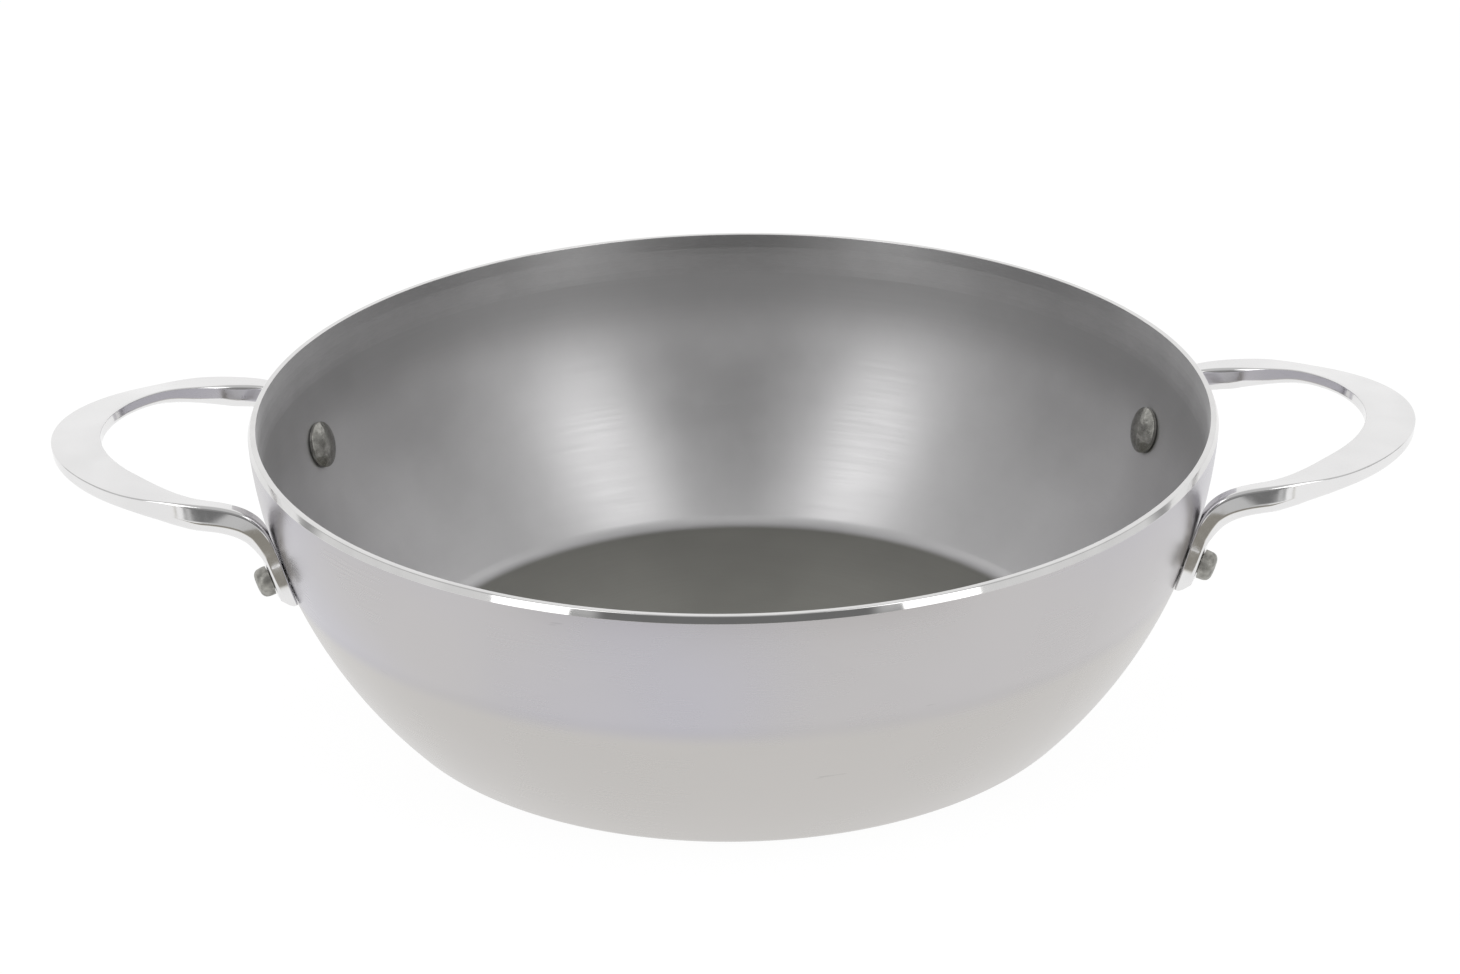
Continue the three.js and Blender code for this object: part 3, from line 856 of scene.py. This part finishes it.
class Metal(Nodes):
    """A metal and the nodes that feed its shader."""

    def __init__(self, name):
        self.material = bpy.data.materials.new(name)
        self.material.use_nodes = True
        super().__init__(self.material.node_tree)

    def finish(self, steel, tone, roughness, height, depth, stretch=0.0):
        """Feeds the shader and gives the material; the gloss may stretch across turned lines."""
        sockets = self.tree.nodes["Principled BSDF"].inputs
        sockets["Metallic"].default_value = 1.0
        self.feed(sockets["Base Color"], self.dim(steel, tone))
        self.feed(sockets["Roughness"], roughness)
        self.feed(sockets["Normal"], self.bump(height, depth))
        if stretch:
            tangent = self.add("ShaderNodeTangent", direction_type="RADIAL", axis="Z")
            sockets["Anisotropic"].default_value = stretch
            sockets["Anisotropic Rotation"].default_value = QUARTER_TURN
            self.feed(sockets["Tangent"], tangent.outputs[0])
        return self.material


def paint(rgb):
    """A colour as a socket takes it."""
    return (*rgb, 1.0)


def new_group(name, output, **inputs):
    """A shader node group with float inputs and one float output, empty so far."""
    tree = bpy.data.node_groups.new(name, "ShaderNodeTree")
    for key, value in inputs.items():
        socket = tree.interface.new_socket(key, in_out="INPUT", socket_type="NodeSocketFloat")
        socket.default_value = value
    tree.interface.new_socket(output, in_out="OUTPUT", socket_type="NodeSocketFloat")
    nodes = Nodes(tree)
    return nodes, nodes.add("NodeGroupInput").outputs, nodes.add("NodeGroupOutput").inputs[0]


def make_turned_grain():
    """Fine lines that run round the pan's axis.

    Across counts them per metre and Along sets how often they break on the way round.
    """
    nodes, given, result = new_group("turned_grain", "Lines", Across=900.0, Along=3.0)
    x, y, z = nodes.parts(nodes.place())
    radius = nodes.off_axis(x, y)
    reach = nodes.math("MAXIMUM", radius, NEAR_AXIS)
    turn_x = nodes.times(nodes.math("DIVIDE", x, reach), given["Along"])
    turn_y = nodes.times(nodes.math("DIVIDE", y, reach), given["Along"])
    out = nodes.times(radius, given["Across"])
    up = nodes.times(z, given["Across"])
    spot = nodes.add("ShaderNodeCombineXYZ")
    nodes.fill(spot, {0: out, 1: up, 2: turn_x})
    nodes.feed(result, nodes.noise(spot.outputs[0], 1.0, 3.0, "4D", turn_y))


def make_mottle():
    """Cloudy variation, as left by rolling, heat and handling."""
    nodes, given, result = new_group("mottle", "Cloud", Scale=60.0, Detail=4.0, Contrast=1.0)
    cloud = nodes.noise(nodes.place(), given["Scale"], given["Detail"])
    centred = nodes.times(nodes.minus(cloud, 0.5), given["Contrast"])
    nodes.feed(result, nodes.plus(centred, 0.5))


def make_stray_marks():
    """Sparse short marks that lie round the pan's axis, in patches."""
    nodes, given, result = new_group("stray_marks", "Mark", Across=500.0, Along=8.0, Rarity=0.68)
    line_edge = 0.05
    patch_scale = 55.0
    patch_edge = (0.6, 0.68)
    lines = nodes.group("turned_grain", Across=given["Across"], Along=given["Along"])
    patches = nodes.noise(nodes.place(), patch_scale, 1.0)
    rarity = given["Rarity"]
    thin = nodes.between(lines, rarity, nodes.plus(rarity, line_edge))
    nodes.feed(result, nodes.times(thin, nodes.between(patches, *patch_edge)))


def satin_inside(pan):
    """The inner wall and floor: satin, duller and darkened as painted shade toward the turned band."""
    metal = Metal("satin_inside")
    bowl = pan.bowl
    floor_edge = (bowl.base_radius - 0.001, bowl.base_radius + 0.003)
    x, y, z = metal.parts(metal.place())
    on_floor = metal.between(metal.off_axis(x, y), *floor_edge, 1.0, 0.0)
    dull = metal.between(z, bowl.height - bowl.dull_and_shade_band, bowl.height - bowl.turned_band)
    grain = metal.group("turned_grain", Across=1100.0, Along=4.0)
    marks = metal.group("stray_marks", Across=420.0, Along=9.0, Rarity=0.66)
    cloud = metal.group("mottle", Scale=45.0, Detail=5.0, Contrast=1.0)
    steel = metal.blend(on_floor, paint(pan.finish.inside), paint(pan.finish.floor))
    # Painted shade: the colour darkens toward the turned band; the roughness rises there too
    tone = metal.times(metal.spread(cloud, 0.96, 1.03), metal.where(dull, PAINTED_SHADE_TONE))
    satin = metal.plus(metal.spread(cloud, 0.385, 0.425), metal.times(dull, 0.15))
    roughness = metal.plus(satin, metal.spread(grain, -0.02, 0.02))
    height = metal.minus(metal.times(grain, 0.1), metal.times(marks, 0.15))
    return metal.finish(steel, tone, roughness, height, depth=0.00002, stretch=0.4)


def turned_band(pan, part):
    """One strip of the turned band inside, where part grows to 1 at the rim.

    Its gloss stretches up and down, more so toward the rim. The stretch is a constant of
    the shader, so the band is made of a few strips.
    """
    metal = Metal("turned_band")
    nicks = metal.group("turned_grain", Across=2200.0, Along=50.0)
    cloud = metal.group("mottle", Scale=45.0, Detail=5.0, Contrast=1.0)
    # Painted shade: each strip's colour is darkened, less so toward the rim
    bright = mix(PAINTED_SHADE_TONE, 0.86, part)
    satin = mix(0.55, 0.59, part)
    clouded = metal.spread(cloud, bright - 0.04, bright + 0.04)
    tone = metal.times(clouded, metal.spread(nicks, 0.94, 1.06))
    roughness = metal.spread(nicks, satin - 0.05, satin + 0.05)
    steel = paint(pan.finish.inside)
    return metal.finish(steel, tone, roughness, nicks, 0.00006 * part, mix(0.55, 0.97, part))


def satin_outside(pan):
    """The outer wall and underside: satin, a cool tint above the press line and a warm one below."""
    metal = Metal("satin_outside")
    line = pan.bowl.height * pan.bowl.press_line
    tint_edge = (line - 0.006, line + 0.002)
    crease_shade_reach = 0.005
    z = metal.parts(metal.place())[2]
    cloud = metal.group("mottle", Scale=26.0, Detail=2.0, Contrast=1.0)
    drift = metal.group("mottle", Scale=9.0, Detail=1.0, Contrast=1.6)
    grain = metal.group("turned_grain", Across=900.0, Along=3.0)
    marks = metal.group("stray_marks", Across=380.0, Along=7.0, Rarity=0.66)
    cool = paint(pan.finish.outside_upper)
    warm = paint(pan.finish.outside_lower)
    above = metal.between(z, *tint_edge)
    steel = metal.blend(above, warm, metal.blend(metal.spread(drift, 0.0, 0.7), cool, warm))
    # Painted shade: a thin line along the press line is darkened, standing in for the shade of a crease
    off_line = metal.math("ABSOLUTE", metal.minus(z, line))
    painted_crease_shade = metal.between(off_line, 0.0, crease_shade_reach, 0.97, 1.0)
    worn_and_shaded = metal.times(painted_crease_shade, metal.where(marks, 0.88))
    tone = metal.times(worn_and_shaded, metal.spread(cloud, 0.985, 1.01))
    roughness = metal.plus(metal.spread(cloud, 0.265, 0.295), metal.spread(grain, -0.006, 0.006))
    height = metal.minus(grain, marks)
    return metal.finish(steel, tone, roughness, height, depth=0.000001, stretch=0.3)


def polished_rim(pan):
    """The ground edge of the rim: bright, with fine turned lines."""
    metal = Metal("polished_rim")
    grain = metal.group("turned_grain", Across=2500.0, Along=6.0)
    cloud = metal.group("mottle", Scale=90.0, Detail=3.0, Contrast=1.0)
    tone = metal.spread(cloud, 0.96, 1.02)
    roughness = metal.spread(grain, 0.04, 0.07)
    return metal.finish(paint(pan.finish.rim), tone, roughness, grain, depth=0.000002)


def polished_casting(pan):
    """The handles: buffed, with the slight waves of a casting and fine rub marks."""
    metal = Metal("polished_casting")
    waves = metal.group("mottle", Scale=70.0, Detail=1.0, Contrast=1.0)
    rub = metal.group("mottle", Scale=420.0, Detail=6.0, Contrast=1.2)
    tone = metal.spread(waves, 0.97, 1.02)
    roughness = metal.spread(rub, 0.07, 0.13)
    height = metal.plus(waves, metal.times(rub, 0.02))
    return metal.finish(paint(pan.finish.handle), tone, roughness, height, depth=0.0001)


def dull_rivet(pan):
    """The rivets: bare steel spotted by the hammer, burnished inside the pan and left dull outside."""
    metal = Metal("dull_rivet")
    spots = metal.group("mottle", Scale=560.0, Detail=5.0, Contrast=1.4)
    broad = metal.group("mottle", Scale=140.0, Detail=2.0, Contrast=1.0)
    x, y, _ = metal.parts(metal.place())
    wall = Wall(pan.bowl).point_at(pan.bowl.height - pan.rivets.drop).x
    burnish_edge = (wall - 0.002, wall + 0.002)
    inside = metal.between(metal.off_axis(x, y), *burnish_edge, 1.0, 0.0)
    tone = metal.times(metal.spread(spots, 0.8, 1.15), metal.spread(broad, 0.9, 1.08))
    tone = metal.times(tone, metal.where(inside, 1.05))
    roughness = metal.minus(metal.spread(spots, 0.5, 0.42), metal.times(inside, 0.22))
    return metal.finish(paint(pan.finish.rivet), tone, roughness, spots, depth=0.00012)


# Stage


def bare_nodes(owner):
    """The emptied node tree of a material or a world."""
    owner.use_nodes = True
    owner.node_tree.nodes.clear()
    return Nodes(owner.node_tree)


def seen_share(nodes, camera_part):
    """One where the metal mirrors a thing, a part where the camera sees it and zero elsewhere."""
    path = nodes.add("ShaderNodeLightPath").outputs
    mirrored = nodes.math("MAXIMUM", path["Is Glossy Ray"], path["Is Transmission Ray"])
    return nodes.math("MAXIMUM", mirrored, nodes.times(path["Is Camera Ray"], camera_part))


def pale_floor(studio):
    """A white floor with a soft shadow, clear from below so that the underside can be seen."""
    matt_white = (0.9, 0.9, 0.9, 1.0)
    seen_white = 1.08
    table_edge = (studio.table_reach, studio.table_reach * 1.5)
    gap_edge = math.radians(6)
    material = bpy.data.materials.new("pale_floor")
    nodes = bare_nodes(material)
    matt = nodes.add("ShaderNodeBsdfDiffuse")
    matt.inputs["Color"].default_value = matt_white
    glow = nodes.add("ShaderNodeEmission")
    camera = nodes.add("ShaderNodeLightPath").outputs["Is Camera Ray"]
    x, y, _ = nodes.parts(nodes.place())
    past = nodes.between(nodes.off_axis(x, y), *table_edge)
    front = nodes.within(nodes.ahead(x, y), studio.table_turn, gap_edge)
    room = nodes.times(nodes.times(past, front), nodes.minus(1.0, camera))
    seen = nodes.times(camera, seen_white)
    nodes.feed(glow.inputs["Strength"], nodes.math("MAXIMUM", nodes.where(room, studio.shade), seen))
    nodes.feed(glow.inputs["Color"], nodes.blend(room, WHITE, paint(studio.room_tint)))
    shown = seen_share(nodes, 1.0 - studio.floor_shadow)
    top = nodes.layers(shown, matt.outputs[0], glow.outputs[0])
    below = nodes.add("ShaderNodeNewGeometry").outputs["Backfacing"]
    both = nodes.layers(below, top, nodes.add("ShaderNodeBsdfTransparent").outputs[0])
    nodes.feed(nodes.add("ShaderNodeOutputMaterial").inputs["Surface"], both)
    return material


def white_room(studio):
    """A white room with a greyer ceiling, dim on the camera's side where the studio is open."""
    world = bpy.data.worlds.new("white_room")
    nodes = bare_nodes(world)
    x, y, z = nodes.parts(nodes.add("ShaderNodeTexCoord").outputs["Generated"])
    ahead = nodes.ahead(x, y)

    # Soft edges, as sines of the height or as cosines of the turn from the front
    rear = math.cos(math.radians(120))
    ceiling_edge = (0.7, 0.95)
    shade_edge = (0.75, 0.95)
    rail_edge = (0.05, 0.08)
    low_edge = (rear, -0.3)
    side_edge = (rear, -0.1)

    def within(half_width, soft=math.radians(5)):
        return nodes.within(ahead, half_width, soft)

    def aside(start, end):
        return nodes.minus(within(end), within(start))

    def over(rise, soft=0.03):
        return nodes.between(z, math.sin(rise) - soft, math.sin(rise) + soft)

    def under(rise):
        return nodes.minus(1.0, over(rise))

    ceiling = nodes.between(z, *ceiling_edge)
    wedge = nodes.times(within(studio.shade_width), nodes.between(z, *shade_edge, 1.0, 0.0))
    strip = nodes.times(over(studio.dark_low), under(studio.dark_high))
    strip = nodes.times(strip, within(studio.dark_width, soft=math.radians(2)))
    low = nodes.times(under(studio.low_top), nodes.between(ahead, *low_edge))
    front = nodes.times(under(studio.dark_low), within(studio.dark_width))
    rail_height = nodes.plus(nodes.times(ahead, studio.rail_fall), studio.rail_level)
    off_rail = nodes.math("ABSOLUTE", nodes.minus(z, rail_height))
    on_rail = nodes.between(off_rail, *rail_edge, 1.0, 0.0)
    rail = nodes.times(aside(studio.rail_start, studio.rail_end), on_rail)
    foot = aside(studio.skirting_start, studio.skirting_end)
    skirting = nodes.times(foot, under(studio.skirting_top))
    camera = nodes.add("ShaderNodeLightPath").outputs["Is Camera Ray"]

    level = nodes.between(ahead, *side_edge, 1.0, studio.side)
    for goal, part in (
        (studio.ceiling, ceiling),
        (studio.shade, wedge),
        (studio.dark, strip),
        (studio.low_shade, low),
        (studio.low_front, front),
        (studio.rail, rail),
        (1.0, skirting),
        (1.0, camera),
    ):
        level = nodes.plus(level, nodes.times(nodes.minus(goal, level), part))
    air = nodes.add("ShaderNodeBackground")
    air.inputs["Color"].default_value = WHITE
    nodes.feed(air.inputs["Strength"], level)
    nodes.feed(nodes.add("ShaderNodeOutputWorld").inputs["Surface"], air.outputs[0])
    bpy.context.scene.world = world


def stand(name, data, target, back, distance):
    """Stands a lamp or a camera back from the target and turns it to look there."""
    made = bpy.data.objects.new(name, data)
    made.location = Vector(target) + back * distance
    made.rotation_mode = "QUATERNION"
    made.rotation_quaternion = (-back).to_track_quat("-Z", "Y")
    bpy.context.scene.collection.objects.link(made)
    return made


def add_softbox(studio, side):
    """A tall softbox at one side of the camera, turned to the pan."""
    turn = side * studio.softbox_turn
    rise = studio.softbox_elevation
    back = Vector((math.sin(turn) * math.cos(rise), -math.cos(turn) * math.cos(rise), math.sin(rise)))
    lamp = bpy.data.lights.new("softbox", "AREA")
    lamp.shape = "RECTANGLE"
    lamp.size = studio.softbox_width
    lamp.size_y = studio.softbox_height
    lamp.energy = studio.softbox_brightness * math.pi * lamp.size * lamp.size_y
    box = stand("softbox", lamp, studio.target, back, studio.softbox_distance)
    box.visible_camera = False


def add_camera(studio):
    """The camera at the photo's angle."""
    sight = bpy.data.cameras.new("camera")
    sight.lens = studio.lens
    sight.sensor_width = SENSOR_WIDTH
    back = Vector((0, -math.cos(studio.elevation), math.sin(studio.elevation)))
    camera = stand("camera", sight, studio.target, back, studio.distance)
    camera.rotation_quaternion = camera.rotation_quaternion @ Quaternion((0, 0, 1), studio.roll)
    bpy.context.scene.camera = camera


def add_floor(studio):
    """The floor, just below the pan's underside."""
    half = studio.floor_size / 2
    level = -0.0002
    corners = [(x * half, y * half, level) for x, y in ((-1, -1), (1, -1), (1, 1), (-1, 1))]
    mesh = bpy.data.meshes.new("floor")
    mesh.from_pydata(corners, [], [(0, 1, 2, 3)])
    floor = bpy.data.objects.new("floor", mesh)
    bpy.context.scene.collection.objects.link(floor)
    mesh.materials.append(pale_floor(studio))


# Operators


def settle(piece, node):
    """Gives a piece its place in the frame."""
    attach(piece, BODY)
    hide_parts(node)


class PAN_OT_finishes(bpy.types.Operator):
    """Makes the effects that the metals share"""

    bl_idname = "pan.finishes"
    bl_label = "Make finishes"

    def execute(self, context):
        make_turned_grain()
        make_mottle()
        make_stray_marks()
        return {"FINISHED"}


class PAN_OT_bowl(bpy.types.Operator):
    """Builds the pressed bowl with its rivet holes"""

    bl_idname = "pan.bowl"
    bl_label = "Build bowl"

    def execute(self, context):
        pan = context.scene.pan
        outer, rim, inner = bowl_outline(pan.bowl)
        outline = outer + rim + inner
        piece = revolve("pressed_bowl", outline, pan.bowl.segments)
        strips = [turned_band(pan, 1 - step / BAND_STRIPS) for step in range(BAND_STRIPS)]
        for metal in (satin_outside(pan), polished_rim(pan), *strips, satin_inside(pan)):
            piece.data.materials.append(metal)
        # The metals lie in the outline's order: outside, rim, strips from the rim down, inside
        for face in piece.data.polygons:
            row = face.index % (len(outline) - 1)
            past_wall = row >= len(outer)
            past_rim = row >= len(outer) + len(rim) - 1
            depth = (pan.bowl.height - outline[row].y) / pan.bowl.turned_band
            strip = min(int(depth * BAND_STRIPS), BAND_STRIPS) if past_rim else 0
            face.material_index = past_wall + past_rim + strip
        turns = [turn + side for side in SIDES.values() for turn in rivet_turns(pan.rivets)]
        cut(piece, make_bores(pan, turns))
        even_shading(piece)
        settle(piece, "bowl")
        return {"FINISHED"}


class PAN_OT_handles(bpy.types.Operator):
    """Builds both cast loop handles"""

    bl_idname = "pan.handles"
    bl_label = "Build handles"

    def execute(self, context):
        pan = context.scene.pan
        metal = polished_casting(pan)
        half = HalfHandle(pan).rings
        flipped = [[Vector((spot.x, -spot.y, spot.z)) for spot in ring] for ring in half]
        rings = flipped + half[-2::-1]
        for side, spin in SIDES.items():
            piece = loft(f"cast_handle_{side}", rings)
            cut(piece, make_bores(pan, rivet_turns(pan.rivets)))
            piece.data.transform(Matrix.Rotation(spin, 4, "Z"))
            even_shading(piece)
            piece.data.materials.append(metal)
            settle(piece, f"handle_{side}")
        return {"FINISHED"}


class PAN_OT_rivets(bpy.types.Operator):
    """Builds the four rivets"""

    bl_idname = "pan.rivets"
    bl_label = "Build rivets"

    def execute(self, context):
        pan = context.scene.pan
        metal = dull_rivet(pan)
        wall = Wall(pan.bowl)
        outline = rivet_outline(pan)
        for side, spin in SIDES.items():
            for turn in rivet_turns(pan.rivets):
                end = "front" if (turn < 0) == (side == "right") else "rear"
                piece = revolve(f"solid_rivet_{side}_{end}", outline, pan.rivets.segments)
                piece.data.transform(rivet_place(wall, pan.bowl, pan.rivets, turn + spin))
                piece.data.set_sharp_from_angle(angle=RIVET_EDGE)
                piece.data.materials.append(metal)
                settle(piece, f"rivet_{side}_{end}")
        return {"FINISHED"}


class PAN_OT_stage(bpy.types.Operator):
    """Sets the camera, the floor, the room and the lamps"""

    bl_idname = "pan.stage"
    bl_label = "Set stage"

    def execute(self, context):
        studio = context.scene.pan.studio
        add_camera(studio)
        add_floor(studio)
        white_room(studio)
        for side in (-1, 1):
            add_softbox(studio, side)
        context.scene.view_settings.view_transform = "Standard"
        return {"FINISHED"}


class PanSettings(bpy.types.PropertyGroup):
    """Everything that a user may change."""

    bowl: PointerProperty(type=BowlSizes, name="Bowl", description="Sizes of the bowl")
    rivets: PointerProperty(type=RivetSizes, name="Rivets", description="Sizes of the rivets")
    handle: PointerProperty(type=HandleSizes, name="Handle", description="Sizes of the handles")
    finish: PointerProperty(type=FinishColours, name="Finish", description="Colours of the metals")
    studio: PointerProperty(type=StudioSettings, name="Studio", description="Camera and lamps")


STEPS = (PAN_OT_finishes, PAN_OT_stage, PAN_OT_bowl, PAN_OT_handles, PAN_OT_rivets)


class PAN_PT_build(bpy.types.Panel):
    """Lists the steps that build the pan and the values that they use"""

    bl_label = "Saute pan"
    bl_idname = "PAN_PT_build"
    bl_space_type = "VIEW_3D"
    bl_region_type = "UI"
    bl_category = "Pan"

    def draw(self, context):
        for step in STEPS:
            self.layout.operator(step.bl_idname)
        for name in PanSettings.__annotations__:
            group = getattr(context.scene.pan, name)
            box = self.layout.box()
            box.label(text=name.capitalize())
            for key in type(group).__annotations__:
                box.prop(group, key)


SETTINGS = (BowlSizes, RivetSizes, HandleSizes, FinishColours, StudioSettings, PanSettings)
CLASSES = (*SETTINGS, *STEPS, PAN_PT_build)


def register():
    for cls in CLASSES:
        bpy.utils.register_class(cls)
    bpy.types.Scene.pan = PointerProperty(type=PanSettings)


def unregister():
    del bpy.types.Scene.pan
    for cls in reversed(CLASSES):
        bpy.utils.unregister_class(cls)


def main():
    register()
    bpy.ops.pan.finishes()
    bpy.ops.pan.stage()
    bpy.ops.pan.bowl()
    bpy.ops.pan.handles()
    bpy.ops.pan.rivets()


if __name__ == "__main__":
    main()
